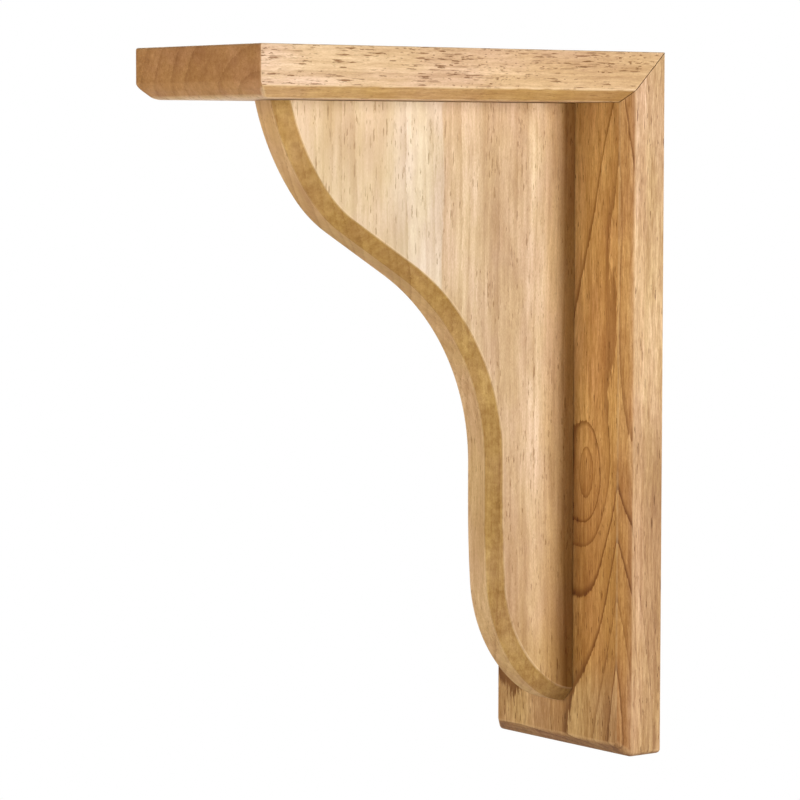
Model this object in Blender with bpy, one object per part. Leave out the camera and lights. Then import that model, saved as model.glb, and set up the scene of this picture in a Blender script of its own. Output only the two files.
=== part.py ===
"""Wooden corbel bracket: two chamfered boards mitred together and a curved brace between them.

Metres, +Z up. The wall is the plane y = 0 and the bracket reaches out along -Y. The origin
is the middle of the back board's rear face, and the bracket is symmetric about x = 0.
"""

import math

import bmesh
import bpy
from mathutils import Vector

# Boards
HEIGHT = 0.355                # foot of the back board to the top surface
PROJECTION = 0.246            # wall to the front end of the top board
BOARD_WIDTH = 0.107
TOP_THICKNESS = 0.025
BACK_THICKNESS = 0.025
BOARD_CHAMFER = 0.0058        # along the edges that are seen from below and in front
ARRIS = 0.0006                # sanded rounding of every edge that is not glued
GLUE_GAP = 0.0003             # between glued faces

# Brace
BRACE_THICKNESS = 0.027
BRACE_CHAMFER = 0.007
BRACE_REACH = 0.1833          # face of the back board to the toe, under the top board
TOE_LEAN = math.radians(13.9)           # front edge at the toe, measured from plumb
SHOULDER_RADIUS = 0.125
SHOULDER_TURN = math.radians(24.6)
BELLY_RADIUS = 0.070
BELLY_TURN = math.radians(20.0)
FLANK_LENGTH = 0.041
SCOOP_RADIUS = 0.1125
WAIST_LENGTH = 0.0196
CALF_RADIUS = 0.587
CALF_TURN = math.radians(4.0)
FOOT_RADIUS = 0.0768
FOOT_TURN = math.radians(51.1)
SOLE_RADIUS = 0.038                     # up to the face of the back board
SOLE_STEPS = 14
ARC_STEP = math.radians(2.5)

TOP = HEIGHT / 2
BOTTOM = -HEIGHT / 2
UNDERSIDE = TOP - TOP_THICKNESS
BOARD_FACE = -BACK_THICKNESS
TOLERANCE = 1e-6

WOODS = {
    "top_board": (0.72, 0.50, 0.28),
    "back_board": (0.56, 0.33, 0.15),
    "brace": (0.78, 0.60, 0.38),
}


def clear_scene():
    for obj in list(bpy.data.objects):
        bpy.data.objects.remove(obj, do_unlink=True)


def wood(name):
    """A plain Principled material in the colour of one piece."""
    material = bpy.data.materials.new(f"{name}_wood")
    material.use_nodes = True
    shader = material.node_tree.nodes["Principled BSDF"]
    shader.inputs["Base Color"].default_value = (*WOODS[name], 1.0)
    shader.inputs["Roughness"].default_value = 0.55
    shader.inputs["Metallic"].default_value = 0.0
    return material


def finish_node(name, bm):
    """Turn a bmesh into the named object."""
    bmesh.ops.recalc_face_normals(bm, faces=bm.faces)
    mesh = bpy.data.meshes.new(name)
    bm.to_mesh(mesh)
    bm.free()
    mesh.materials.append(wood(name))
    obj = bpy.data.objects.new(name, mesh)
    bpy.context.scene.collection.objects.link(obj)
    return obj


def bevel(bm, edges, width, segments=1):
    bmesh.ops.bevel(
        bm,
        geom=edges,
        offset=width,
        offset_type="OFFSET",
        segments=segments,
        profile=0.5,
        affect="EDGES",
        clamp_overlap=False,
    )


def extrude_outline(outline, width):
    """A solid of a (y, z) outline, centred on x = 0."""
    bm = bmesh.new()
    face = bm.faces.new([bm.verts.new((-width / 2, y, z)) for y, z in outline])
    grown = bmesh.ops.extrude_face_region(bm, geom=[face])
    moved = [item for item in grown["geom"] if isinstance(item, bmesh.types.BMVert)]
    bmesh.ops.translate(bm, verts=moved, vec=(width, 0.0, 0.0))
    bmesh.ops.recalc_face_normals(bm, faces=bm.faces)
    return bm


def mitre_line(side):
    """Where one board's mitre face meets its outer and its inner face, as (y, z) points.

    The mitre runs from the outer corner to the inner one. Each board stops half a glue gap
    short of it: side is +1 for the top board, above the line, and -1 for the back board.
    """
    run = Vector((BACK_THICKNESS, TOP_THICKNESS)).normalized()
    normal = Vector((-run.y, run.x)) * side
    start = normal * GLUE_GAP / 2 + Vector((0.0, TOP))
    slope = run.y / run.x
    if side > 0:
        outer = Vector((start.x + (TOP - start.y) / slope, TOP))
        inner = Vector((start.x + (UNDERSIDE - start.y) / slope, UNDERSIDE))
    else:
        outer = Vector((0.0, start.y + (0.0 - start.x) * slope))
        inner = Vector((BOARD_FACE, start.y + (BOARD_FACE - start.x) * slope))
    return outer, inner


def on_mitre(face, side):
    """Whether a face is the board's mitre face."""
    run = Vector((0.0, BACK_THICKNESS, TOP_THICKNESS)).normalized()
    normal = Vector((0.0, -run.z, run.y)) * side
    return face.normal.dot(normal) < -0.999


def ease(bm, side):
    """Round every edge of a board except those of its glued mitre."""
    bm.normal_update()
    free = [e for e in bm.edges if not any(on_mitre(f, side) for f in e.link_faces)]
    bevel(bm, free, ARRIS, segments=2)


def chamfered_board(name, outline, side, axis, level):
    """A board whose edges on the plane axis = level carry the chamfer, up to the mitre."""
    bm = extrude_outline(outline, BOARD_WIDTH)
    seen = [
        e
        for e in bm.edges
        if all(abs(v.co[axis] - level) < TOLERANCE for v in e.verts)
        and not any(on_mitre(f, side) for f in e.link_faces)
    ]
    bevel(bm, seen, BOARD_CHAMFER)
    ease(bm, side)
    return finish_node(name, bm)


def top_board():
    outer, inner = mitre_line(+1)
    outline = [(-PROJECTION, UNDERSIDE), (-PROJECTION, TOP), outer, inner]
    return chamfered_board("top_board", outline, +1, axis=2, level=UNDERSIDE)


def back_board():
    outer, inner = mitre_line(-1)
    outline = [(BOARD_FACE, BOTTOM), inner, outer, (0.0, BOTTOM)]
    return chamfered_board("back_board", outline, -1, axis=1, level=BOARD_FACE)


def heading_vector(heading):
    """Direction of travel down the brace's front edge; 0 is plumb, a quarter turn is level."""
    return Vector((math.sin(heading), -math.cos(heading)))


def inward(heading):
    """Unit vector from the front edge into the brace."""
    return Vector((math.cos(heading), math.sin(heading)))


def brace_edge(inset):
    """Points of the S-shaped front edge, set back into the brace by inset.

    It runs from the top board's underside to the back board's face: shoulder and belly bulge,
    a straight flank, a scoop back to plumb, a straight waist, then calf, foot and sole, which
    bulge more and more until the edge meets the back board.
    """
    top = UNDERSIDE - GLUE_GAP
    rear = BOARD_FACE - GLUE_GAP
    heading = TOE_LEAN
    point = Vector((BOARD_FACE - BRACE_REACH, top)) + inward(heading) * inset
    points = []

    def arc(radius, turn, bulging):
        nonlocal heading, point
        reach = radius - inset if bulging else radius + inset
        side = 1 if bulging else -1
        centre = point + inward(heading) * reach * side
        if turn is None:
            turn = math.acos((centre.x - rear) / reach) - heading
            steps = SOLE_STEPS
        else:
            steps = max(2, math.ceil(turn / ARC_STEP))
        for k in range(1, steps + 1):
            now = heading + side * turn * k / steps
            points.append(centre - inward(now) * reach * side)
        heading += side * turn
        point = points[-1]

    def straight(length):
        nonlocal point
        point = point + heading_vector(heading) * length
        points.append(point)

    toe = point + heading_vector(heading) * ((point.y - top) / math.cos(heading))
    points.append(toe)
    arc(SHOULDER_RADIUS, SHOULDER_TURN, True)
    arc(BELLY_RADIUS, BELLY_TURN, True)
    straight(FLANK_LENGTH)
    arc(SCOOP_RADIUS, heading, False)
    straight(WAIST_LENGTH)
    arc(CALF_RADIUS, CALF_TURN, True)
    arc(FOOT_RADIUS, FOOT_TURN, True)
    arc(SOLE_RADIUS, None, True)            # None: until it meets the back board
    return points


def brace():
    """The brace: four sections across its thickness, the outer two set back by the chamfer."""
    corner = Vector((BOARD_FACE - GLUE_GAP, UNDERSIDE - GLUE_GAP))
    half = BRACE_THICKNESS / 2
    sections = [
        (-half, BRACE_CHAMFER),
        (-half + BRACE_CHAMFER, 0.0),
        (half - BRACE_CHAMFER, 0.0),
        (half, BRACE_CHAMFER),
    ]
    bm = bmesh.new()
    rings = []
    for x, inset in sections:
        outline = brace_edge(inset) + [corner]
        rings.append([bm.verts.new((x, p.x, p.y)) for p in outline])
    count = len(rings[0])
    chamfer_lines = []
    for near, far in zip(rings, rings[1:]):
        for k in range(count):
            n = (k + 1) % count
            bm.faces.new((near[k], near[n], far[n], far[k]))
    bm.faces.new(rings[0])
    bm.faces.new(reversed(rings[-1]))
    for ring in rings:
        for k in range(count - 2):
            chamfer_lines.append(bm.edges.get((ring[k], ring[k + 1])))
    bmesh.ops.remove_doubles(bm, verts=bm.verts, dist=TOLERANCE)
    bmesh.ops.recalc_face_normals(bm, faces=bm.faces)
    bevel(bm, [e for e in chamfer_lines if e.is_valid], ARRIS, segments=2)
    return finish_node("brace", bm)


clear_scene()
top_board()
back_board()
brace()
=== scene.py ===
# %% [markdown]
# # A wooden corbel bracket
# Three boards make this bracket: a top board that carries the shelf, a back board that goes
# on the wall, mitred to it, and a curved brace glued into the corner between them. The solids
# are already measured and packed, so this lesson gives them their sanded edges, their wood
# and their light. Nothing here changes a size.

# %% Load the measured model
import math

import bmesh
import bpy
from mathutils import Matrix, Vector


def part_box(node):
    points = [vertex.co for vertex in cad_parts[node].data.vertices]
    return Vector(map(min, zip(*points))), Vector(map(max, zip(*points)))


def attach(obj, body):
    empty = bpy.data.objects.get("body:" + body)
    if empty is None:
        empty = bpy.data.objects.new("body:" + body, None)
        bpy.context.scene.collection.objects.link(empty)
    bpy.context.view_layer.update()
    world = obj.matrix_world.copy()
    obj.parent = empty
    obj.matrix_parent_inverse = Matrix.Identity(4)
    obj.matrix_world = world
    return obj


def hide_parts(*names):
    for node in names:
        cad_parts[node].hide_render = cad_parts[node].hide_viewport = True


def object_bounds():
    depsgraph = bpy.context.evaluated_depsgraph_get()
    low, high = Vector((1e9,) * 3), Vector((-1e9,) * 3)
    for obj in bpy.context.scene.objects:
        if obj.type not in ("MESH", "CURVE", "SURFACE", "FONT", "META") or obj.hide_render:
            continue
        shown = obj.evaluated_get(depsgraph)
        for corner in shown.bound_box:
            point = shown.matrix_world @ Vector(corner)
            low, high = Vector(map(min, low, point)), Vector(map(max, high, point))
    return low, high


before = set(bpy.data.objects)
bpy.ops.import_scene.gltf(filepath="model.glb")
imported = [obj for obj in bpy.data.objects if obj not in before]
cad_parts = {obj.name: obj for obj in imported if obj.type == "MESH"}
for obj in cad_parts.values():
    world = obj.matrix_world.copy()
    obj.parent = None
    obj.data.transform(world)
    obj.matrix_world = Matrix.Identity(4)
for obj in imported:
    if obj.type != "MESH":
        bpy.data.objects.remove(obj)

MM = 0.001
cad_low, cad_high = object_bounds()
print("measured box", [round(v, 4) for v in (*cad_low, *cad_high)])

# %% [markdown]
# ## The camera
# A long lens held a little below the top board gives the calm, nearly parallel look of a
# catalogue picture. The place was found from the corners of the real bracket: once the
# lines of a box are known, only one viewpoint fits them. The camera looks from the front and
# from the right at almost equal angles, so both the side and the end of the boards show.

# %% Camera
VIEW_AZIMUTH = math.radians(53.14)    # round from the front, towards the right
VIEW_PITCH = math.radians(4.25)       # looking slightly down
VIEW_ROLL = math.radians(0.08)
LENS_MM = 153.3
SENSOR_MM = 36.0
CAMERA_PLACE = Vector((1.3459, -1.1348, 0.1301))

camera_data = bpy.data.cameras.new("catalogue_camera")
camera_data.lens = LENS_MM
camera_data.sensor_width = SENSOR_MM
camera_data.clip_start = 0.05
camera_data.clip_end = 60.0
camera = bpy.data.objects.new("catalogue_camera", camera_data)
bpy.context.scene.collection.objects.link(camera)
camera.matrix_world = (
    Matrix.Translation(CAMERA_PLACE)
    @ Matrix.Rotation(VIEW_AZIMUTH, 4, "Z")
    @ Matrix.Rotation(math.pi / 2 - VIEW_PITCH, 4, "X")
    @ Matrix.Rotation(VIEW_ROLL, 4, "Z")
)
bpy.context.scene.camera = camera
print("camera", round(CAMERA_PLACE.length, 3), "m from the bracket")

# %% [markdown]
# ## The studio
# The bracket hangs in a white sweep. One large soft light stands to the right, a little
# behind the wall's plane: it brightens the sides, leaves the faces that look forward in
# half shade, and lets the back board throw a soft shadow on the brace. A warm panel in front
# opens those shadows, and two weaker ones, behind on the left and overhead, reach what the
# others miss. The camera sees the room and the floor as plain white, but the room itself
# gives only a dim warm light.

# %% Colours, floor, lights and room
FLOOR_DROP = 0.35
FLOOR_SIZE = 24.0
KEY_BEARING = math.radians(19.0)      # behind the wall's plane
KEY_RISE = math.radians(3.0)
KEY_DISTANCE = 2.6
KEY_PLACE = KEY_DISTANCE * Vector(
    (
        math.cos(KEY_BEARING) * math.cos(KEY_RISE),
        math.sin(KEY_BEARING) * math.cos(KEY_RISE),
        math.sin(KEY_RISE),
    )
)
PANELS = (                            # name, place, size, power, tint
    ("key_panel", KEY_PLACE, 0.95, 61.0, (1.0, 0.985, 0.96)),
    ("fill_panel", Vector((-0.05, -2.6, 0.3)), 1.2, 36.0, (1.0, 0.87, 0.66)),
    ("rear_panel", Vector((-2.3, 1.1, 0.4)), 1.6, 30.0, (1.0, 0.95, 0.88)),
    ("top_panel", Vector((0.0, 0.1, 2.6)), 1.6, 14.0, (1.0, 0.95, 0.88)),
)
WHITE = (1.0, 1.0, 1.0, 1.0)
ROOM_TINT = (1.0, 0.91, 0.74, 1.0)
ROOM_STRENGTH = 0.12
FLOOR_GREY = (0.93, 0.93, 0.93, 1.0)


def panel_light(name, place, size, power, tint):
    """A square soft panel that faces the middle of the bracket."""
    data = bpy.data.lights.new(name, "AREA")
    data.shape = "SQUARE"
    data.size = size
    data.energy = power
    data.color = tint
    lamp = bpy.data.objects.new(name, data)
    lamp.location = place
    middle = (cad_low + cad_high) / 2
    lamp.rotation_mode = "QUATERNION"
    lamp.rotation_quaternion = (middle - place).to_track_quat("-Z", "Y")
    bpy.context.scene.collection.objects.link(lamp)


bpy.context.scene.view_settings.view_transform = "Standard"
for panel in PANELS:
    panel_light(*panel)

room = bpy.data.worlds.new("white_room")
room.use_nodes = True
bpy.context.scene.world = room
nodes = room.node_tree.nodes
links = room.node_tree.links
seen = nodes.new("ShaderNodeBackground")
seen.inputs["Color"].default_value = WHITE
seen.inputs["Strength"].default_value = 1.0
lit = nodes["Background"]
lit.inputs["Color"].default_value = ROOM_TINT
lit.inputs["Strength"].default_value = ROOM_STRENGTH
path = nodes.new("ShaderNodeLightPath")
blend = nodes.new("ShaderNodeMixShader")
links.new(path.outputs["Is Camera Ray"], blend.inputs["Fac"])
links.new(lit.outputs["Background"], blend.inputs[1])
links.new(seen.outputs["Background"], blend.inputs[2])
links.new(blend.outputs["Shader"], nodes["World Output"].inputs["Surface"])

floor_mesh = bpy.data.meshes.new("studio_floor")
reach = FLOOR_SIZE / 2
level = cad_low.z - FLOOR_DROP
corners = [(x * reach, y * reach, level) for x, y in ((-1, -1), (1, -1), (1, 1), (-1, 1))]
floor_mesh.from_pydata(corners, [], [(0, 1, 2, 3)])
studio_floor = bpy.data.objects.new("studio_floor", floor_mesh)
bpy.context.scene.collection.objects.link(studio_floor)
floor_paint = bpy.data.materials.new("white_sweep")
floor_paint.use_nodes = True
paint = floor_paint.node_tree
matt = paint.nodes["Principled BSDF"]
matt.inputs["Base Color"].default_value = FLOOR_GREY
matt.inputs["Roughness"].default_value = 0.9
glow = paint.nodes.new("ShaderNodeEmission")
ray = paint.nodes.new("ShaderNodeLightPath")
sweep = paint.nodes.new("ShaderNodeMixShader")
paint.links.new(ray.outputs["Is Camera Ray"], sweep.inputs["Fac"])
paint.links.new(matt.outputs["BSDF"], sweep.inputs[1])
paint.links.new(glow.outputs["Emission"], sweep.inputs[2])
paint.links.new(sweep.outputs["Shader"], paint.nodes["Material Output"].inputs["Surface"])
floor_mesh.materials.append(floor_paint)
print("floor", round(level, 3), "key panel", [round(v, 2) for v in KEY_PLACE])

# %% [markdown]
# ## Reading the boards
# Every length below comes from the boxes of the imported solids, so the dressed pieces land
# where the solids are. Only what a box can't tell is written down again: the chamfers and
# the turns of the brace's front edge.

# %% Sizes from the frame
top_low, top_high = (Vector(v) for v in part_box("top_board"))
back_low, back_high = (Vector(v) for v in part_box("back_board"))
brace_low, brace_high = (Vector(v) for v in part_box("brace"))

BOARD_WIDTH = top_high.x - top_low.x
FRONT_END = top_low.y
TOP = top_high.z
UNDERSIDE = top_low.z
BOTTOM = back_low.z
WALL = back_high.y
BOARD_FACE = back_low.y
TOP_THICKNESS = TOP - UNDERSIDE
BACK_THICKNESS = WALL - BOARD_FACE
GLUE_GAP = UNDERSIDE - brace_high.z
BRACE_THICKNESS = brace_high.x - brace_low.x
BRACE_TOP = brace_high.z
BRACE_REAR = brace_high.y
TOE = brace_low.y
BOARD_CHAMFER = 5.8 * MM
BRACE_CHAMFER = 7.0 * MM
print("boards", round(BOARD_WIDTH, 4), "wide, glue gap", round(GLUE_GAP, 5))

# %% [markdown]
# ## The brace's front edge
# A bandsawn curve like this one is a chain of arcs that meet without a kink: shoulder and
# belly bulge outwards, a short straight flank leads into the hollow scoop, and below a plumb
# waist the calf, foot and sole bulge more and more until the edge meets the back board.
# Walking the chain needs one heading and one point. Each point also keeps the direction into
# the wood, because that is the way the chamfer sets the edge back.

# %% Walk the edge
TOE_LEAN = math.radians(13.9)
ARC_STEP = math.radians(1.25)
EDGE = (
    ("arc", 0.125, math.radians(24.6)),      # shoulder
    ("arc", 0.070, math.radians(20.0)),      # belly
    ("line", 0.041),                         # flank
    ("arc", -0.1125, math.radians(58.5)),    # scoop, which turns back to plumb
    ("line", 0.0196),                        # waist
    ("arc", 0.587, math.radians(4.0)),       # calf
    ("arc", 0.0768, math.radians(51.1)),     # foot
    ("arc", 0.038, None),                    # sole, as far as the back board
)


def along(heading):
    """Unit step down the edge, as (y, z); heading 0 is plumb."""
    return Vector((math.sin(heading), -math.cos(heading)))


def inward(heading):
    """Unit step from the edge into the wood, as (y, z)."""
    return Vector((math.cos(heading), math.sin(heading)))


def walk_edge():
    """Points of the edge from toe to sole, each with its set-back direction."""
    heading = TOE_LEAN
    point = Vector((TOE, BRACE_TOP))
    walked = [(point, Vector((1 / math.cos(heading), 0.0)))]
    for kind, size, *turn in EDGE:
        if kind == "line":
            point = point + along(heading) * size
            walked.append((point, inward(heading)))
            continue
        centre = point + inward(heading) * size
        angle = turn[0] or math.acos((centre.x - BRACE_REAR) / size) - heading
        steps = math.ceil(angle / ARC_STEP)
        for k in range(1, steps + 1):
            now = heading + math.copysign(angle, size) * k / steps
            walked.append((centre - inward(now) * size, inward(now)))
        heading += math.copysign(angle, size)
        point = walked[-1][0]
    walked[-1] = (point, Vector((0.0, 1 / math.sin(heading))))
    return walked


edge_points = walk_edge()
print("edge", len(edge_points), "points, down to", round(edge_points[-1][0].y, 4))
print("the packed brace goes down to", round(brace_low.z, 4))

# %% [markdown]
# ## A helper for node trees
# Geometry trees and shader trees are wired in the same way, so one small class does both.
# It adds a node, sets what is a plain number straight on the socket, and links what comes
# from another node.

# %% Wiring
class Wiring:
    """Adds nodes to one tree and joins them."""

    def __init__(self, tree):
        self.tree = tree

    def feed(self, socket, value):
        if isinstance(value, bpy.types.NodeSocket):
            self.tree.links.new(value, socket)
        elif value is not None:
            socket.default_value = value

    def add(self, kind, values=None, **settings):
        node = self.tree.nodes.new(kind)
        for name, value in settings.items():
            setattr(node, name, value)
        for key, value in (values or {}).items():
            self.feed(node.inputs[key], value)
        return node

    def math(self, operation, *values, clamp=False):
        node = self.add("ShaderNodeMath", operation=operation, use_clamp=clamp)
        for socket, value in zip(node.inputs, values):
            self.feed(socket, value)
        return node.outputs["Value"]

    def vector(self, operation, *values):
        node = self.add("ShaderNodeVectorMath", operation=operation)
        for socket, value in zip(node.inputs, values):
            self.feed(socket, value)
        single = operation in ("DOT_PRODUCT", "LENGTH", "DISTANCE")
        return node.outputs["Value" if single else "Vector"]

    def times(self, first, *others):
        """The product of several numbers."""
        for other in others:
            first = self.math("MULTIPLY", first, other)
        return first

    def rest(self, share):
        """What a share leaves of one."""
        return self.math("SUBTRACT", 1.0, share)

    def scaled(self, vector, amount):
        node = self.add("ShaderNodeVectorMath", {0: vector, "Scale": amount}, operation="SCALE")
        return node.outputs["Vector"]

    def ramp(self, value, low, high, to_low=0.0, to_high=1.0):
        """A soft step: to_low below low, to_high above high."""
        node = self.add("ShaderNodeMapRange", interpolation_type="SMOOTHSTEP")
        for name, given in (
            ("Value", value),
            ("From Min", low),
            ("From Max", high),
            ("To Min", to_low),
            ("To Max", to_high),
        ):
            self.feed(node.inputs[name], given)
        return node.outputs["Result"]

    def mix(self, factor, first, second, blend="MIX"):
        """A blend of two colours."""
        node = self.add("ShaderNodeMix", data_type="RGBA", blend_type=blend)
        node.clamp_factor = True
        for index, given in ((0, factor), (6, first), (7, second)):
            self.feed(node.inputs[index], given)
        return node.outputs[2]

    def tint(self, colour, share, by):
        """A colour multiplied by another, as far as share says."""
        return self.mix(share, colour, by, blend="MULTIPLY")

    def noise(self, vector, scale=1.0, detail=2.0, rough=0.5):
        values = {"Vector": vector, "Scale": scale, "Detail": detail, "Roughness": rough}
        return self.add("ShaderNodeTexNoise", values).outputs

    def long_cell(self, width, stretch):
        """The size of a cell that is drawn out along Z."""
        size = {"X": width, "Y": width, "Z": self.times(width, stretch)}
        return self.add("ShaderNodeCombineXYZ", size).outputs["Vector"]


def new_group(name, kind, inputs, outputs):
    """A group whose sockets are (name, kind, start value); returns tree, wiring and inputs."""
    tree = bpy.data.node_groups.new(name, kind)
    for in_out, sockets in (("INPUT", inputs), ("OUTPUT", outputs)):
        for label, kind_of_value, start in sockets:
            kind_of_socket = "NodeSocket" + kind_of_value
            socket = tree.interface.new_socket(label, in_out=in_out, socket_type=kind_of_socket)
            if start is not None:
                socket.default_value = start
    wire = Wiring(tree)
    return tree, wire, wire.add("NodeGroupInput").outputs


print("helper ready")

# %% [markdown]
# ## One tree for three boards
# All three pieces are plates: an outline sawn out of a plank, chamfered along some of its
# edges, and for two of them cut at a slant where they meet. One Geometry Nodes tree makes
# them all. It takes a flat outline and raises it in steps along an axis. Two vectors on each
# point tell it what happens there: `set_back` is how that corner moves when it is chamfered,
# and `slant` is how it drifts as the plate rises. Changing a chamfer is then one number.

# %% The plate tree
WELD = 0.001 * MM


def plate_tree():
    inputs = (
        ("Geometry", "Geometry", None),
        ("Thickness", "Float", 0.025),
        ("First Chamfer", "Float", 0.005),
        ("Last Chamfer", "Float", 0.0),
        ("Axis", "Vector", (0.0, 0.0, 1.0)),
        ("Wood", "Material", None),
    )
    outputs = (("Geometry", "Geometry", None),)
    tree, wire, given = new_group("sawn_plate", "GeometryNodeTree", inputs, outputs)

    def named_vector(name):
        node = wire.add("GeometryNodeInputNamedAttribute", {"Name": name}, data_type="FLOAT_VECTOR")
        return node.outputs["Attribute"]

    def moved(geometry, offset, selection=None):
        values = {"Geometry": geometry, "Offset": offset, "Selection": selection}
        return wire.add("GeometryNodeSetPosition", values).outputs["Geometry"]

    def raised(geometry, selection, rise, set_back_change):
        """Raise the chosen face, drift its slanted corners and move its set-back."""
        values = {
            "Mesh": geometry, "Selection": selection, "Offset": given["Axis"], "Offset Scale": rise
        }
        grow = wire.add("GeometryNodeExtrudeMesh", values, mode="FACES")
        top = grow.outputs["Top"]
        out = moved(grow.outputs["Mesh"], wire.scaled(named_vector("slant"), rise), top)
        if set_back_change is not None:
            out = moved(out, wire.scaled(named_vector("set_back"), set_back_change), top)
        return out, top

    first = given["First Chamfer"]
    last = given["Last Chamfer"]
    base = moved(given["Geometry"], wire.scaled(named_vector("set_back"), first))
    body, top = raised(base, None, first, wire.times(first, -1.0))
    middle = wire.math("SUBTRACT", wire.math("SUBTRACT", given["Thickness"], first), last)
    body, top = raised(body, top, middle, None)
    body, top = raised(body, top, last, last)
    bottom = wire.add("GeometryNodeFlipFaces", {"Mesh": base}).outputs["Mesh"]
    joined = wire.add("GeometryNodeJoinGeometry", {"Geometry": body})
    wire.feed(joined.inputs["Geometry"], bottom)
    welded = wire.add(
        "GeometryNodeMergeByDistance", {"Geometry": joined.outputs["Geometry"], "Distance": WELD}
    )
    real = wire.add("GeometryNodeRealizeInstances", {"Geometry": welded.outputs["Geometry"]})
    coated = wire.add(
        "GeometryNodeSetMaterial", {"Geometry": real.outputs["Geometry"], "Material": given["Wood"]}
    )
    wire.add("NodeGroupOutput", {"Geometry": coated.outputs["Geometry"]})
    return tree


sawn_plate = plate_tree()
print("plate tree", len(sawn_plate.nodes), "nodes")

# %% [markdown]
# ## Sanded edges
# No edge on real wood is perfectly sharp. Most are eased with a couple of strokes of
# sandpaper, and here and there a corner gets more. A Bevel modifier with a weight on each
# edge does both: the weight is the share of the widest rounding. The glued edges of the
# mitre keep almost none, so that the joint stays a hair line.

# %% Cut a plate and ease its edges
WIDEST_EASING = 3.2 * MM
EASING_STEPS = 4
PLAIN_EASING = 0.25              # shares of the widest easing
GLUED_EASING = 0.05
HANDLED_EASING = 0.45
RUBBED_EASING = 0.5
WORN_EASING = 0.9
FOOT_EASING = 0.95
EASED_ANGLE = math.radians(20.0)


def set_inputs(modifier, tree, values):
    """Give a tree's named inputs their values by the sockets' identifiers."""
    for item in tree.interface.items_tree:
        if item.in_out == "INPUT" and item.name in values:
            modifier[item.identifier] = values[item.name]


def to_plain_mesh(obj, name):
    """A new object with the evaluated mesh of obj; obj goes away."""
    bpy.context.view_layer.update()
    shown = obj.evaluated_get(bpy.context.evaluated_depsgraph_get())
    mesh = bpy.data.meshes.new_from_object(shown)
    mesh.name = name
    bpy.data.objects.remove(obj, do_unlink=True)
    plain = bpy.data.objects.new(name, mesh)
    bpy.context.scene.collection.objects.link(plain)
    return plain


def cut_plate(name, outline, axis, thickness, first_chamfer, last_chamfer, wood):
    """Run the plate tree on an outline of (corner, set back, slant) entries."""
    mesh = bpy.data.meshes.new(name + "_outline")
    mesh.from_pydata([tuple(c) for c, _, _ in outline], [], [tuple(range(len(outline)))])
    for attribute, column in (("set_back", 1), ("slant", 2)):
        layer = mesh.attributes.new(attribute, "FLOAT_VECTOR", "POINT")
        for k, entry in enumerate(outline):
            layer.data[k].vector = entry[column]
    blank = bpy.data.objects.new(name + "_outline", mesh)
    bpy.context.scene.collection.objects.link(blank)
    modifier = blank.modifiers.new("plate", "NODES")
    modifier.node_group = sawn_plate
    set_inputs(
        modifier,
        sawn_plate,
        {
            "Thickness": thickness,
            "First Chamfer": first_chamfer,
            "Last Chamfer": last_chamfer,
            "Axis": axis,
            "Wood": wood,
        },
    )
    return to_plain_mesh(blank, name)


def ease_edges(plate, easing, routed):
    """Round the edges of a plate; easing gives an edge's share of the widest rounding.

    The points inside a rounding get the mark "eased", and the faces that routed() picks,
    the ones cut by the chamfer bit, get the mark "routed".
    """
    name = plate.name
    bm = bmesh.new()
    bm.from_mesh(plate.data)
    bmesh.ops.dissolve_degenerate(bm, edges=bm.edges, dist=0.1 * WELD)
    bmesh.ops.recalc_face_normals(bm, faces=bm.faces)
    weights = bm.edges.layers.float.new("bevel_weight_edge")
    cut = bm.faces.layers.float.new("routed")
    for edge in bm.edges:
        sharp = edge.calc_face_angle(0.0) > EASED_ANGLE
        edge[weights] = easing(edge) if sharp else 0.0
    for face in bm.faces:
        face.smooth = True
        face.material_index = 0
        face[cut] = 1.0 if routed(face) else 0.0
    bm.to_mesh(plate.data)
    bm.free()
    wood = next(m for m in plate.data.materials if m)
    plate.data.materials.clear()
    plate.data.materials.append(wood)
    plate.data.materials.append(wood)
    bevel = plate.modifiers.new("easing", "BEVEL")
    bevel.limit_method = "WEIGHT"
    bevel.width = WIDEST_EASING
    bevel.segments = EASING_STEPS
    bevel.harden_normals = True
    bevel.use_clamp_overlap = False
    bevel.material = 1
    plate.name = name + "_blank"
    plain = to_plain_mesh(plate, name)
    mesh = plain.data
    inside = [True] * len(mesh.vertices)
    for face in mesh.polygons:
        if face.material_index != 1:
            for k in face.vertices:
                inside[k] = False
        face.material_index = 0
    mesh.materials.clear()
    mesh.materials.append(wood)
    mark = mesh.attributes.new("eased", "FLOAT", "POINT")
    mark.data.foreach_set("value", [1.0 if flag else 0.0 for flag in inside])
    return plain


print("easing", round(WIDEST_EASING * PLAIN_EASING / MM, 2), "mm on a plain edge")

# %% [markdown]
# ## The three outlines
# The top board is drawn from below and raised upwards, the back board from its front face
# and raised towards the wall: in both, the chamfer is on the first face. Where they meet,
# the corner points slide along the slant of the mitre. The brace is drawn from its left
# side and chamfered on both, but only along its front edge.

# %% Outlines
half_width = BOARD_WIDTH / 2
mitre_run = Vector((BACK_THICKNESS, TOP_THICKNESS)).normalized()
mitre_gap = Vector((-mitre_run.y, mitre_run.x)) * GLUE_GAP / 2
TOP_SLANT = BACK_THICKNESS / TOP_THICKNESS
top_inner = BOARD_FACE + mitre_gap.x - mitre_gap.y * TOP_SLANT
back_inner = UNDERSIDE - mitre_gap.y + mitre_gap.x / TOP_SLANT
NONE = Vector((0.0, 0.0, 0.0))


def top_outline():
    slant = Vector((0.0, TOP_SLANT, 0.0))
    return [
        (Vector((-half_width, FRONT_END, UNDERSIDE)), Vector((1, 1, 0)), NONE),
        (Vector((-half_width, top_inner, UNDERSIDE)), Vector((1, 0, 0)), slant),
        (Vector((half_width, top_inner, UNDERSIDE)), Vector((-1, 0, 0)), slant),
        (Vector((half_width, FRONT_END, UNDERSIDE)), Vector((-1, 1, 0)), NONE),
    ]


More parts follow.
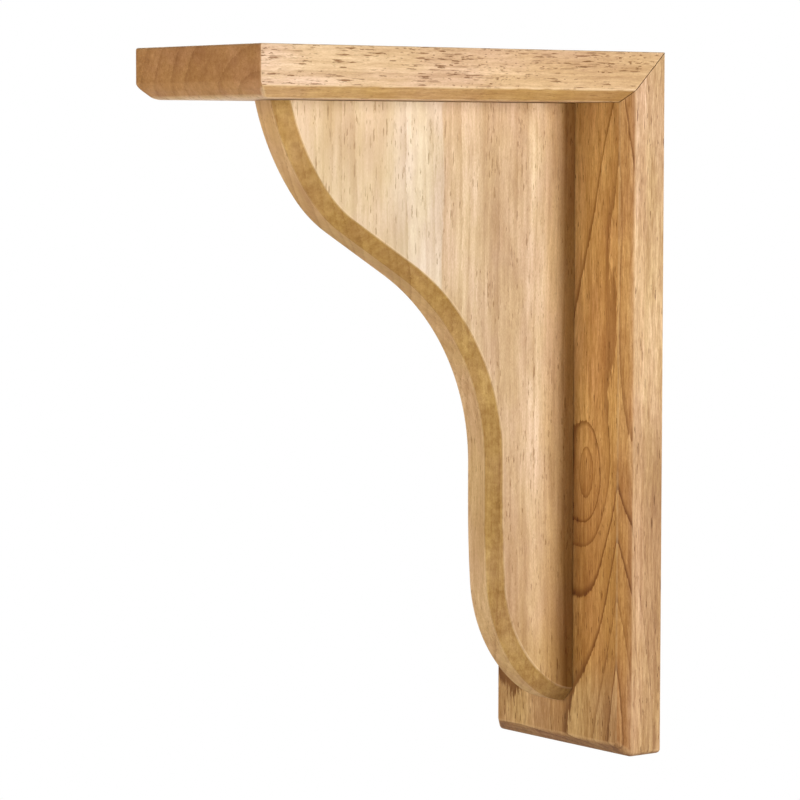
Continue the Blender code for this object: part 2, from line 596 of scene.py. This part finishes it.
def back_outline():
    slant = Vector((0.0, 0.0, 1 / TOP_SLANT))
    return [
        (Vector((-half_width, BOARD_FACE, BOTTOM)), Vector((1, 0, 1)), NONE),
        (Vector((half_width, BOARD_FACE, BOTTOM)), Vector((-1, 0, 1)), NONE),
        (Vector((half_width, BOARD_FACE, back_inner)), Vector((-1, 0, 0)), slant),
        (Vector((-half_width, BOARD_FACE, back_inner)), Vector((1, 0, 0)), slant),
    ]


def brace_outline():
    left = -BRACE_THICKNESS / 2
    outline = [
        (Vector((left, p.x, p.y)), Vector((0.0, back.x, back.y)), NONE)
        for p, back in edge_points
    ]
    outline.append((Vector((left, BRACE_REAR, BRACE_TOP)), NONE, NONE))
    return outline


print("mitre corners", round(top_inner, 5), round(back_inner, 5))

# %% [markdown]
# ## Growth rings
# A tree adds one ring a year: pale wood in spring that darkens slowly, then a thin brown line
# where growth stopped. A board shows these as lines or arches, depending on where it was cut
# from the log. The group takes one number, the distance across the rings, and returns the
# brown lines, the slow darkening before each of them, and a tone that differs from ring to
# ring. Years are not equal, so the count is stretched a little by noise.

# %% The ring group
MASK = (("Mask", "Float", None),)
LINE_DARKEST = 0.97                      # when in the year the line is darkest
SECOND_DRAW = 31.7                       # far enough from a year to give another number


def growth_rings_group():
    inputs = (
        ("Distance", "Float", 0.0),
        ("Ring Width", "Float", 0.006),
        ("Unevenness", "Float", 0.6),
        ("Line Share", "Float", 0.3),
        ("Faintest", "Float", 0.3),
    )
    outputs = [(label, "Float", None) for label in ("Late Wood", "Ripening", "Ring Tone")]
    tree, wire, given = new_group("growth_rings", "ShaderNodeTree", inputs, outputs)

    def drawn_for(year):
        """A number from 0 to 1 that belongs to a year."""
        draw = wire.add("ShaderNodeTexWhiteNoise", {"W": year}, noise_dimensions="1D")
        return draw.outputs["Value"]

    count = wire.math("DIVIDE", given["Distance"], given["Ring Width"])
    values = {"W": count, "Scale": 0.45, "Detail": 1.0}
    drift = wire.add("ShaderNodeTexNoise", values, noise_dimensions="1D").outputs["Fac"]
    swing = wire.times(wire.math("SUBTRACT", drift, 0.5), given["Unevenness"])
    count = wire.math("ADD", count, swing)
    year = wire.math("FLOOR", count)
    season = wire.math("FRACT", count)
    line = wire.ramp(season, wire.rest(given["Line Share"]), LINE_DARKEST)
    stop = wire.ramp(season, 0.975, 1.0, 1.0, 0.0)
    strength = wire.ramp(drawn_for(year), 0.0, 1.0, given["Faintest"], 1.0)
    late = wire.times(line, stop, strength)
    ripening = wire.times(wire.ramp(season, 0.1, 0.98), stop)
    tone = drawn_for(wire.math("ADD", year, SECOND_DRAW))
    wire.add("NodeGroupOutput", {"Late Wood": late, "Ripening": ripening, "Ring Tone": tone})
    return tree


growth_rings = growth_rings_group()
print("growth rings", len(growth_rings.nodes), "nodes")

# %% [markdown]
# ## Pores
# The vessels that carried sap are long thin tubes. Cut along the grain they show as short
# dark dashes, cut across it as dots. Stretched Voronoi cells give both from one pattern:
# every cell holds one spindle, and the face shows whatever slice of it it meets. Only some
# cells are used, a slow noise gathers those into drifts, and a fast one frays their outline.

# %% The pore group
DRIFT_STRETCH = 5.0


def pores_group():
    inputs = (
        ("Vector", "Vector", None),
        ("Spacing", "Float", 0.003),
        ("Stretch", "Float", 6.0),
        ("Girth", "Float", 0.2),
        ("Cover", "Float", 0.5),
        ("Drift Size", "Float", 0.02),
        ("Place", "Vector", (0.0, 0.0, 0.0)),
    )
    tree, wire, given = new_group("pores", "ShaderNodeTree", inputs, MASK)
    place = wire.vector("ADD", given["Vector"], given["Place"])
    in_cells = wire.vector("DIVIDE", place, wire.long_cell(given["Spacing"], given["Stretch"]))
    cells = wire.add("ShaderNodeTexVoronoi", {"Vector": in_cells, "Scale": 1.0}).outputs
    traits = wire.add("ShaderNodeSeparateColor", {"Color": cells["Color"]}).outputs
    in_drifts = wire.vector("DIVIDE", place, wire.long_cell(given["Drift Size"], DRIFT_STRETCH))
    drifts = wire.noise(in_drifts)["Fac"]
    share = wire.times(given["Cover"], wire.ramp(drifts, 0.36, 0.62, 0.2, 1.0))
    used = wire.math("LESS_THAN", traits["Red"], share)
    girth = wire.times(given["Girth"], wire.ramp(traits["Green"], 0.0, 1.0, 0.55, 1.25))
    fray = wire.math("SUBTRACT", wire.noise(in_cells, scale=4.5)["Fac"], 0.5)
    fray = wire.times(fray, wire.times(girth, 2.2))
    distance = wire.math("ADD", cells["Distance"], fray)
    slice_ = wire.ramp(distance, wire.times(girth, 0.65), girth, 1.0, 0.0)
    depth = wire.ramp(traits["Blue"], 0.0, 1.0, 0.35, 1.0)
    wire.add("NodeGroupOutput", {"Mask": wire.times(slice_, used, depth)})
    return tree


pores = pores_group()
print("pores", len(pores.nodes), "nodes")

# %% [markdown]
# ## Fibres, end grain and eased edges
# Between the pores, the wood is a bundle of fine fibres, which show as streaks far longer
# than wide. Where a face cuts across the fibres it drinks in light and looks darker, so one
# mask compares the face's direction with the grain. The chamfers were cut by a spinning
# bit, which burnishes the wood a shade darker and yellower than the planed faces. The last
# group finds the eased edges, which get a paler line: a painted highlight, for the light that
# a rounded edge catches. The mesh marks both kinds of face, and noise breaks the marks up:
# no tool works evenly, and the painted highlight is broken up in the same way.

# %% The fibre, end grain and edge groups
def fibres_group():
    inputs = (
        ("Vector", "Vector", None),
        ("Width", "Float", 0.001),
        ("Stretch", "Float", 30.0),
        ("Contrast", "Float", 1.0),
        ("Place", "Vector", (0.0, 0.0, 0.0)),
    )
    outputs = (("Streak", "Float", None),)
    tree, wire, given = new_group("fibres", "ShaderNodeTree", inputs, outputs)
    place = wire.vector("ADD", given["Vector"], given["Place"])
    in_cells = wire.vector("DIVIDE", place, wire.long_cell(given["Width"], given["Stretch"]))
    noise = wire.noise(in_cells, detail=3.0, rough=0.55)["Fac"]
    swing = wire.times(wire.math("SUBTRACT", noise, 0.5), given["Contrast"])
    wire.add("NodeGroupOutput", {"Streak": wire.math("ADD", swing, 0.5, clamp=True)})
    return tree


def end_grain_group():
    inputs = (("Grain", "Vector", (0.0, 0.0, 1.0)),)
    tree, wire, given = new_group("end_grain", "ShaderNodeTree", inputs, MASK)
    facing = wire.add("ShaderNodeTexCoord").outputs["Normal"]
    along_grain = wire.math("ABSOLUTE", wire.vector("DOT_PRODUCT", facing, given["Grain"]))
    wire.add("NodeGroupOutput", {"Mask": wire.ramp(along_grain, 0.15, 0.8)})
    return tree


def marked_group(name, mark, patch_size, low, high, least):
    """A group for a mark of the mesh, broken up by patches of noise."""
    inputs = (("Vector", "Vector", None), ("Patch Size", "Float", patch_size))
    tree, wire, given = new_group(name, "ShaderNodeTree", inputs, MASK)
    marked = wire.add("ShaderNodeAttribute", attribute_name=mark).outputs["Fac"]
    scale = wire.math("DIVIDE", 1.0, given["Patch Size"])
    patches = wire.noise(given["Vector"], scale, detail=3.0)["Fac"]
    shown = wire.times(marked, wire.ramp(patches, low, high, least, 1.0))
    wire.add("NodeGroupOutput", {"Mask": shown})
    return tree


fibres = fibres_group()
end_grain = end_grain_group()
routed_face = marked_group("routed_face", "routed", 0.02, 0.2, 0.7, 0.8)
eased_edge = marked_group("eased_edge", "eased", 0.012, 0.35, 0.6, 0.25)
print("fibres, end grain and edge groups ready")

# %% [markdown]
# ## Where each board sat in the log
# The pattern on a board follows from its place in the tree, so each board has its own rule
# for the distance across the rings. The top board was cut beside the heart: its end shows
# arcs round a point below and to the right. The brace was cut further out, so its side
# shows straight, close lines. The back board was cut nearly flat to the rings: there the
# rings are a gently curved sheet with a few swellings, and wherever the board's face cuts
# through a swelling it shows an eye or an arch. One last small swelling draws the inner ring
# of the eye.

# %% Ring distances
def grain_warp(wire, place, size, amount):
    """A slow wander of the grain, mostly across it."""
    noise = wire.noise(wire.vector("DIVIDE", place, (size, size, size * 4)))["Color"]
    swing = wire.vector("SUBTRACT", noise, (0.5, 0.5, 0.5))
    return wire.vector("ADD", place, wire.scaled(swing, amount))


def log_distance(wire, place):
    """Distance from the heart of the log, which runs along Z."""
    return wire.vector("LENGTH", wire.vector("MULTIPLY", place, (1.0, 1.0, 0.02)))


SHEET_UNIT = (0.035, 0.001, 0.1)         # metres to sheet units: across, into and along the board
SHEET_TURN = 7.0                         # depth in mm from which the sheet sinks more slowly
SHEET_BEND = 3.0                         # how softly it turns there
SLOW_SINK = 0.35
INNERMOST = 0.25                         # no swelling digs below this ring, except the last
INNERMOST_BEND = 0.5
SHEET = dict(
    start=6.35, across=4.45, across_twice=0.76,
    along=-1.79, along_twice=-0.71, twist=0.47, depth=0.39,
)
SWELLINGS = (                            # height in rings, middle across and along, widths
    (-0.75, -0.40, 0.43, 0.25, 0.56),
    (-2.17, 0.03, 0.37, 0.25, 0.90),
    (-3.88, -1.12, -0.38, 0.69, 0.25),
    (-3.15, -0.32, -0.52, 0.80, 1.00),
    (2.69, -1.00, -0.35, 0.25, 0.19),
)
EYE = (-0.90, -0.70, -0.34, 0.155, 0.13)         # the last, for the eye's inner ring


def swollen_sheet(wire, place):
    """Rings cut flat; returns how many rings out from the eye a point is."""
    in_units = wire.vector("DIVIDE", place, SHEET_UNIT)
    flat = wire.vector("MULTIPLY", in_units, (1.0, 0.0, 1.0))
    part = wire.add("ShaderNodeSeparateXYZ", {"Vector": in_units}).outputs
    fast = wire.math("SMOOTH_MIN", part["Y"], SHEET_TURN, SHEET_BEND)
    depth = wire.math("ADD", wire.times(fast, 1 - SLOW_SINK), wire.times(part["Y"], SLOW_SINK))
    sunk = wire.add("ShaderNodeCombineXYZ", {"Y": depth}).outputs["Vector"]
    slope = (SHEET["across"], -SHEET["depth"], SHEET["along"])
    rings = wire.vector("DOT_PRODUCT", wire.vector("ADD", flat, sunk), slope)
    rings = wire.math("ADD", rings, SHEET["start"])
    twice = wire.vector("MULTIPLY", flat, (SHEET["across_twice"], 0.0, SHEET["along_twice"]))
    rings = wire.math("ADD", rings, wire.vector("DOT_PRODUCT", flat, twice))
    rings = wire.math("ADD", rings, wire.times(part["X"], part["Z"], SHEET["twist"]))

    def swollen(count, height, across, along_board, width, length):
        away = wire.vector("SUBTRACT", flat, (across, 0.0, along_board))
        away = wire.vector("DIVIDE", away, (width, 1.0, length))
        fall = wire.times(wire.vector("DOT_PRODUCT", away, away), -1.0)
        return wire.math("ADD", count, wire.times(wire.math("EXPONENT", fall), height))

    for swelling in SWELLINGS:
        rings = swollen(rings, *swelling)
    return swollen(wire.math("SMOOTH_MAX", rings, INNERMOST, INNERMOST_BEND), *EYE)


# %% [markdown]
# ## One recipe, three woods
# The three boards are the same kind of timber but not the same plank, so they share a recipe
# and differ in its numbers. The recipe stacks what real wood stacks: base tones that follow
# one another across the plank, tints that come in towards its foot, slow patches, streaks of
# four widths, ring lines, darker end grain, chamfers that the bit burnished, and pores. In the
# back board and the brace some base tones and tints are painted shade, as noted there, and
# the eased edges get a paler line that is a painted highlight. The streaks multiply the
# colour rather than paint over it, so dark ones turn warmer as well as darker, and they can
# be weaker in a calm part of the plank.
# The same masks also set the roughness and a shallow relief.

# %% The wood recipe
UP = (0.0, 0.0, 1.0)
INTO_WALL = (0.0, 1.0, 0.0)
TO_THE_RIGHT = (1.0, 0.0, 0.0)
DARKENING = (0.55, 0.80, 1.10)           # how much each channel gives way in a dark streak
LIGHTENING = (0.45, 0.55, 0.70)
STREAKS = (                              # width, stretch, contrast
    (0.0075, 12.0, 1.9),
    (0.0023, 16.0, 2.1),
    (0.0008, 9.0, 2.2),
    (0.0004, 3.5, 2.4),
)
SIDE_ON = (0.78, 0.95)                   # how squarely a face looks sideways, from chamfer to side
SCORCH_SCALE = 260.0
PORELESS_END = 0.85                      # how much of the pores goes in end grain
PORELESS_CHAMFER = 0.65                  # and where the bit burnished the wood
RELIEF_DEPTH = 0.4 * MM
SHEEN = 0.32


def use(wire, group, **values):
    """Places a group in a material and sets its inputs, with _ for the spaces in their names."""
    node = wire.add("ShaderNodeGroup", node_tree=group)
    for name, value in values.items():
        wire.feed(node.inputs[name.replace("_", " ")], value)
    return node.outputs


def graded(wire, colour, value, amount):
    """Multiplies a colour by a tint that runs from dark to light as value goes from 0 to 1."""
    dark = (*(1 - amount * share for share in DARKENING), 1.0)
    light = (*(1 + amount * share for share in LIGHTENING), 1.0)
    return wire.tint(colour, 1.0, wire.mix(value, dark, light))


def wood_material(name, turn, centre, grain, rings, tones, pore_sets, spec):
    """Wood whose grain runs along the mapped Z; tones holds colours and spec the amounts."""
    material = bpy.data.materials.new(name)
    material.use_nodes = True
    tree = material.node_tree
    wire = Wiring(tree)
    surface = tree.nodes["Principled BSDF"]
    where = wire.add("ShaderNodeTexCoord").outputs["Object"]
    seat = wire.add("ShaderNodeMapping", {"Vector": where, "Location": centre, "Rotation": turn})
    place = seat.outputs["Vector"]
    bent = grain_warp(wire, place, spec["warp_size"], spec["warp"])

    layers = []
    for k, (width, stretch, contrast) in enumerate(STREAKS):
        size = dict(Width=width, Stretch=stretch, Contrast=contrast)
        layer = use(wire, fibres, Vector=bent, Place=(0.3 * k, 0.1 * k, 0.2), **size)
        layers.append(layer["Streak"])
    patches = wire.noise(wire.vector("DIVIDE", place, spec["patch_cell"]), detail=3.0)
    patch = patches["Fac"]
    hue = wire.add("ShaderNodeSeparateColor", {"Color": patches["Color"]}).outputs["Green"]
    wander = wire.times(wire.math("SUBTRACT", patch, 0.5), spec["tone_wander"])
    plank_place = wire.math("ADD", wire.vector("DOT_PRODUCT", where, spec["tone_along"]), wander)
    length = wire.add("ShaderNodeSeparateXYZ", {"Vector": place}).outputs["Z"]
    along_board = wire.math("ADD", length, wander)

    fray = wire.times(wire.math("SUBTRACT", layers[2], 0.5), spec["fray"])
    ring = use(
        wire,
        growth_rings,
        Distance=wire.math("ADD", rings(wire, bent), fray),
        Ring_Width=spec["ring_width"],
        Unevenness=spec["unevenness"],
        Line_Share=spec["line_share"],
        Faintest=spec["faintest"],
    )
    facing = wire.add("ShaderNodeTexCoord").outputs["Normal"]
    aside = wire.math("ABSOLUTE", wire.vector("DOT_PRODUCT", facing, TO_THE_RIGHT))
    on_side = wire.ramp(aside, *SIDE_ON)
    shown = wire.rest(wire.times(on_side, 1 - spec["rings_on_side"]))
    end = use(wire, end_grain, Grain=grain)["Mask"]
    # mask for a painted highlight: a paler line along the eased edges
    edge_highlight = use(wire, eased_edge, Vector=place)["Mask"]
    burnished = use(wire, routed_face, Vector=place)["Mask"]

    colour = tones["planks"][0]
    for between, tone in zip(spec["tone_between"], tones["planks"][1:]):
        colour = wire.mix(wire.ramp(plank_place, *between), colour, tone)
    for between, tint, fade in spec["lengthwise"]:
        share = wire.ramp(along_board, *between, 1.0, 0.0)
        colour = wire.tint(colour, wire.times(share, wire.rest(wire.times(aside, fade))), tint)
    if "front" in tones:
        colour = wire.mix(on_side, tones["front"], colour)
    colour = wire.tint(colour, wire.ramp(hue, 0.35, 0.65, 0.0, spec["hue"]), tones["hue"])
    colour = graded(wire, colour, wire.ramp(patch, 0.3, 0.7), spec["patch"])
    strength = wire.ramp(plank_place, *spec["calm"])
    for layer, amount in zip(layers, spec["streaks"]):
        swing = wire.times(wire.math("SUBTRACT", layer, 0.5), strength)
        colour = graded(wire, colour, wire.math("ADD", swing, 0.5, clamp=True), amount)
    colour = graded(wire, colour, ring["Ring Tone"], spec["ring_tone"])
    colour = wire.tint(colour, wire.times(ring["Ripening"], spec["ripe"], shown), tones["ripe"])
    on_end = wire.times(end, spec["late_end"] - spec["late"])
    late = wire.times(ring["Late Wood"], wire.math("ADD", on_end, spec["late"]), shown)
    colour = wire.tint(colour, late, tones["late"])
    colour = wire.tint(colour, wire.times(end, spec["end"]), tones["end"])
    scorch = wire.noise(place, SCORCH_SCALE, detail=5.0, rough=0.7)["Fac"]
    scorched = graded(wire, tones["routed"], wire.ramp(scorch, 0.3, 0.7), spec["scorch"])
    colour = wire.tint(colour, burnished, scorched)
    dashes = 0.0
    for values in pore_sets:
        dashes = wire.math("MAXIMUM", dashes, use(wire, pores, Vector=bent, **values)["Mask"])
    side_grain = wire.rest(wire.times(end, PORELESS_END))
    unburnished = wire.rest(wire.times(burnished, PORELESS_CHAMFER))
    dashes = wire.times(dashes, side_grain, unburnished)
    # painted highlight: the eased edges are lightened, for the light that a rounded edge catches
    colour = wire.mix(wire.times(edge_highlight, side_grain, spec["edge_highlight"]), colour, tones["edge_highlight"])
    colour = wire.tint(colour, wire.times(dashes, spec["pore"]), tones["pore"])
    wire.feed(surface.inputs["Base Color"], colour)

    dull = wire.ramp(layers[2], 0.2, 0.9, spec["rough"], spec["rough"] + 0.12)
    dull = wire.math("ADD", dull, wire.times(dashes, 0.15), clamp=True)
    wire.feed(surface.inputs["Roughness"], dull)
    surface.inputs["Specular IOR Level"].default_value = SHEEN

    relief = wire.times(layers[2], 0.25)
    relief = wire.math("ADD", relief, wire.times(ring["Late Wood"], 0.12))
    relief = wire.math("SUBTRACT", relief, wire.times(dashes, 0.7))
    bump = wire.add("ShaderNodeBump", {"Height": relief, "Strength": 0.5, "Distance": RELIEF_DEPTH})
    wire.feed(surface.inputs["Normal"], bump.outputs["Normal"])
    return material


# %% [markdown]
# ## The top board's wood
# Peach timber that turns tan towards the wall, with many short brown pore dashes. The grain
# runs from the wall to the front, so the pattern is turned until its length lies along that
# line.

# %% Top board wood
PORES_SHORT = dict(Spacing=0.0011, Stretch=8.0, Girth=0.36, Cover=0.75, Drift_Size=0.008)
PORES_LONG = dict(
    Spacing=0.0016, Stretch=10.0, Girth=0.27, Cover=0.75, Drift_Size=0.012, Place=(0.5, 0.2, 0.9)
)
PORES_FINE = dict(
    Spacing=0.0010, Stretch=3.5, Girth=0.31, Cover=0.70, Drift_Size=0.009, Place=(0.1, 0.7, 0.3)
)

top_wood = wood_material(
    "top_board_wood",
    turn=(math.radians(90), 0.0, 0.0),
    centre=(-0.055, 0.130, 0.0),
    grain=(0.0, 1.0, 0.0),
    rings=log_distance,
    tones={
        "planks": ((0.76, 0.57, 0.43, 1.0), (0.65, 0.455, 0.30, 1.0)),
        "hue": (1.0, 1.03, 0.86, 1.0),
        "ripe": (0.90, 0.86, 0.80, 1.0),
        "late": (0.62, 0.52, 0.42, 1.0),
        "end": (0.53, 0.375, 0.215, 1.0),
        "routed": (0.67, 0.58, 0.34, 1.0),
        # painted highlight colour for the eased edges
        "edge_highlight": (0.80, 0.60, 0.38, 1.0),
        "pore": (0.41, 0.30, 0.21, 1.0),
    },
    pore_sets=(PORES_SHORT, PORES_LONG, PORES_FINE),
    spec={
        "warp_size": 0.05, "warp": 0.006, "ring_width": 0.012, "unevenness": 0.8,
        "line_share": 0.45, "faintest": 0.3, "fray": 0.0008, "patch_cell": (0.022, 0.022, 0.07),
        "tone_along": (0.0, 1.0, 0.0), "tone_wander": 0.12, "tone_between": ((-0.20, -0.06),),
        "hue": 0.9, "patch": 0.16, "streaks": (0.20, 0.24, 0.24, 0.16), "ring_tone": 0.08,
        "ripe": 0.2, "late": 0.2, "late_end": 0.42, "end": 0.9, "edge_highlight": 0.5, "pore": 1.0,
        "scorch": 0.12, "rough": 0.56, "rings_on_side": 1.0,
        "lengthwise": (), "calm": (0.0, 0.1, 1.0, 1.0),
    },
)
print("top board wood", len(top_wood.node_tree.nodes), "nodes")

# %% [markdown]
# ## The back board's wood
# A warmer orange-brown plank, cut flat to the rings. Thin dark lines draw a long eye near
# the middle of its face and arches round it. Its right side, which the key panel lights, is
# less orange: a paler strip at the front and a darker one towards the wall. The deeper orange
# of the front and the left side is partly the plank's own tone and partly painted shade, the
# warmer shade of the faces that look away from the key panel.
# The front darkens below the middle and turns pale and less orange at the foot, a tint that
# fades out towards the side.

# %% Back board wood
back_wood = wood_material(
    "back_board_wood",
    turn=(0.0, 0.0, 0.0),
    centre=(BOARD_CHAMFER - BOARD_WIDTH / 2, -BOARD_FACE, 0.0),
    grain=(0.0, 0.0, 1.0),
    rings=swollen_sheet,
    tones={
        # the first tone covers the front and the left side: partly the plank's own orange, partly
        # painted shade; the other two lie on the right side
        "planks": (
            (0.65, 0.435, 0.213, 1.0), (0.64, 0.455, 0.315, 1.0), (0.575, 0.408, 0.252, 1.0),
        ),
        "hue": (1.0, 1.05, 0.85, 1.0),
        "ripe": (0.78, 0.68, 0.56, 1.0),
        "late": (0.44, 0.31, 0.20, 1.0),
        "end": (0.55, 0.47, 0.40, 1.0),
        "routed": (0.90, 0.85, 0.84, 1.0),
        # painted highlight colour for the eased edges
        "edge_highlight": (0.72, 0.50, 0.28, 1.0),
        "pore": (0.40, 0.30, 0.22, 1.0),
    },
    pore_sets=(
        dict(
            Spacing=0.0010, Stretch=6.0, Girth=0.30, Cover=0.45,
            Drift_Size=0.010, Place=(0.2, 0.6, 0.1),
        ),
        dict(
            Spacing=0.0016, Stretch=8.0, Girth=0.22, Cover=0.40,
            Drift_Size=0.014, Place=(0.9, 0.1, 0.3),
        ),
    ),
    spec={
        "warp_size": 0.05, "warp": 0.0015, "ring_width": 1.0, "unevenness": 0.0,
        "line_share": 0.20, "faintest": 0.5, "fray": 0.07, "patch_cell": (0.020, 0.020, 0.07),
        "tone_along": (0.5, 1.0, 0.0), "tone_wander": 0.004,
        "tone_between": ((0.0035, 0.0085), (0.0125, 0.0165)),
        "hue": 0.7, "patch": 0.20, "streaks": (0.26, 0.40, 0.46, 0.18), "ring_tone": 0.16,
        "ripe": 0.65, "late": 0.95, "late_end": 0.8, "end": 0.9, "edge_highlight": 0.3, "pore": 0.95,
        "scorch": 0.10, "rough": 0.55, "rings_on_side": 0.3, "calm": (0.0, 0.1, 1.0, 1.0),
        "lengthwise": (
            ((-0.04, 0.01), (0.78, 0.71, 0.59, 1.0), 0.0),
            ((-0.152, -0.126), (1.10, 1.27, 1.84, 1.0), 1.0),
        ),
    },
)
print("back board wood", len(back_wood.node_tree.nodes), "nodes")

# %% [markdown]
# ## The brace's wood
# The palest of the three, with close upright grain. The plank had several upright bands of
# tone in it: the sharpest boundary runs down through the shoulder of the brace. The last two
# bands, next to the back board, are painted shade: they darken and warm the strip beside the
# back board, where its shadow falls. Two tints darken and yellow the lower brace, painted
# shade as well. The outer part is calmer than the rest.

# %% Brace wood
brace_wood = wood_material(
    "brace_wood",
    turn=(0.0, 0.0, 0.0),
    centre=(0.12, 0.26, 0.0),
    grain=(0.0, 0.0, 1.0),
    rings=log_distance,
    tones={
        # the last two tones are painted shade: they darken and warm the brace beside the back
        # board, where its shadow falls
        "planks": (
            (0.66, 0.535, 0.385, 1.0), (0.705, 0.612, 0.513, 1.0), (0.62, 0.475, 0.335, 1.0),
            (0.55, 0.397, 0.26, 1.0), (0.685, 0.535, 0.385, 1.0), (0.62, 0.43, 0.25, 1.0),
            (0.50, 0.31, 0.13, 1.0),
        ),
        "front": (0.65, 0.48, 0.32, 1.0),
        "hue": (1.0, 1.04, 0.86, 1.0),
        "ripe": (0.90, 0.86, 0.80, 1.0),
        "late": (0.68, 0.58, 0.46, 1.0),
        "end": (0.82, 0.74, 0.56, 1.0),
        "routed": (0.66, 0.592, 0.336, 1.0),
        # painted highlight colour for the eased edges
        "edge_highlight": (0.84, 0.64, 0.42, 1.0),
        "pore": (0.54, 0.44, 0.33, 1.0),
    },
    pore_sets=(
        dict(
            Spacing=0.0011, Stretch=5.0, Girth=0.33, Cover=0.55,
            Drift_Size=0.010, Place=(0.7, 0.3, 0.4),
        ),
        dict(
            Spacing=0.0017, Stretch=8.0, Girth=0.25, Cover=0.50,
            Drift_Size=0.016, Place=(0.4, 0.8, 0.2),
        ),
    ),
    spec={
        "warp_size": 0.05, "warp": 0.009, "ring_width": 0.0042, "unevenness": 0.8,
        "line_share": 0.4, "faintest": 0.2, "fray": 0.001, "patch_cell": (0.014, 0.014, 0.04),
        "tone_along": (0.0, 1.0, 0.0), "tone_wander": 0.010,
        # the last two steps bring in the painted shade beside the back board
        "tone_between": (
            (-0.150, -0.132), (-0.1110, -0.1090), (-0.090, -0.078), (-0.058, -0.052),
            (-0.049, -0.038), (-0.037, -0.028),
        ),
        "hue": 0.55, "patch": 0.16, "streaks": (0.24, 0.22, 0.15, 0.18), "ring_tone": 0.10,
        "ripe": 0.3, "late": 0.35, "late_end": 0.5, "end": 0.9, "edge_highlight": 0.3, "pore": 0.75,
        "scorch": 0.32, "rough": 0.57, "rings_on_side": 1.0, "calm": (-0.13, -0.095, 0.55, 1.1),
        # painted shade: both tints darken and yellow the lower brace, for the warm shade near its
        # foot
        "lengthwise": (
            ((-0.110, 0.005), (0.88, 0.81, 0.70, 1.0), 0.0),
            ((-0.132, -0.100), (0.91, 0.88, 0.72, 1.0), 0.0),
        ),
    },
)
print("brace wood", len(brace_wood.node_tree.nodes), "nodes")

# %% [markdown]
# ## The top board
# The outline lies on the board's lower face and is raised upwards. Its three free lower
# edges are chamfered. The edges of that chamfer were rubbed far rounder than the rest along
# the front and the left side, and the front end's upper and left edges a little, as happens
# when a board is turned over on the bench.

# %% Make the top board
NEAR_CHAMFER = 1.1 * BOARD_CHAMFER
LONG_EDGE = 15 * MM
CLOSE = 0.1 * MM


def near_mitre(edge):
    """True where both ends of an edge lie on the slanted joint."""
    drift = (v.co.y - BOARD_FACE - (v.co.z - UNDERSIDE) * TOP_SLANT for v in edge.verts)
    return all(abs(d) < 1.0 * MM for d in drift)


def ease_top(edge):
    if near_mitre(edge):
        return GLUED_EASING
    middle = (edge.verts[0].co + edge.verts[1].co) / 2
    in_front = middle.y < FRONT_END + NEAR_CHAMFER
    low = middle.z < UNDERSIDE + NEAR_CHAMFER
    outermost = edge.calc_length() > LONG_EDGE and abs(middle.x) > half_width - CLOSE
    not_at_right = middle.x < 0.1 * half_width
    if outermost or not low or not (in_front or not_at_right):
        return HANDLED_EASING if not_at_right and in_front else PLAIN_EASING
    return WORN_EASING if not_at_right else RUBBED_EASING


def lower_chamfer(face):
    """True for the faces that slope in towards the underside, except on the end."""
    slopes = -0.9 < face.normal.z < -0.4 and face.normal.y > -0.4
    return slopes and not all(near_mitre(edge) for edge in face.edges)


top_board = cut_plate(
    "top_board_sanded", top_outline(), UP, TOP_THICKNESS, BOARD_CHAMFER, 0.0, top_wood
)
top_board = ease_edges(top_board, ease_top, lower_chamfer)
print("top board", len(top_board.data.polygons), "faces")

# %% [markdown]
# ## The back board
# The same tree, with the outline on the front face and raised towards the wall. The edges
# of its foot were rubbed rounder than the others, most of all at the right.

# %% Make the back board
def ease_back(edge):
    if near_mitre(edge):
        return GLUED_EASING
    if any(v.co.z > BOTTOM + NEAR_CHAMFER for v in edge.verts):
        return PLAIN_EASING
    at_right = all(v.co.x > half_width - NEAR_CHAMFER for v in edge.verts)
    return FOOT_EASING if at_right else RUBBED_EASING


def front_chamfer(face):
    """True for the faces that slope back from the front face."""
    return -0.9 < face.normal.y < -0.4 and not all(near_mitre(edge) for edge in face.edges)


back_board = cut_plate(
    "back_board_sanded", back_outline(), INTO_WALL, BACK_THICKNESS, BOARD_CHAMFER, 0.0, back_wood
)
back_board = ease_edges(back_board, ease_back, front_chamfer)
print("back board", len(back_board.data.polygons), "faces")

# %% [markdown]
# ## The brace
# The outline is the bandsawn edge, closed at the corner that the two boards make. Here both
# sides are chamfered. The two glued faces stay sharp, so they sit tight on the boards.

# %% Make the brace
def ease_brace(edge):
    glued_top = all(v.co.z > BRACE_TOP - 0.1 * CLOSE for v in edge.verts)
    glued_rear = all(v.co.y > BRACE_REAR - 0.1 * CLOSE for v in edge.verts)
    return GLUED_EASING if glued_top or glued_rear else PLAIN_EASING


def side_chamfer(face):
    """True for the faces between a side and the curved edge."""
    return 0.4 < abs(face.normal.x) < 0.9


brace = cut_plate(
    "brace_sanded", brace_outline(), TO_THE_RIGHT, BRACE_THICKNESS,
    BRACE_CHAMFER, BRACE_CHAMFER, brace_wood,
)
brace = ease_edges(brace, ease_brace, side_chamfer)
print("brace", len(brace.data.polygons), "faces")

# %% [markdown]
# ## Put the pieces on the frame
# Each dressed board stands for the solid of the same name, which is hidden, and rides on
# the one body.

# %% Tie to the frame
for piece, solid, finish in (
    (top_board, "top_board", "top_board_wood"),
    (back_board, "back_board", "back_board_wood"),
    (brace, "brace", "brace_wood"),
):
    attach(piece, "root")
    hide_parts(solid)
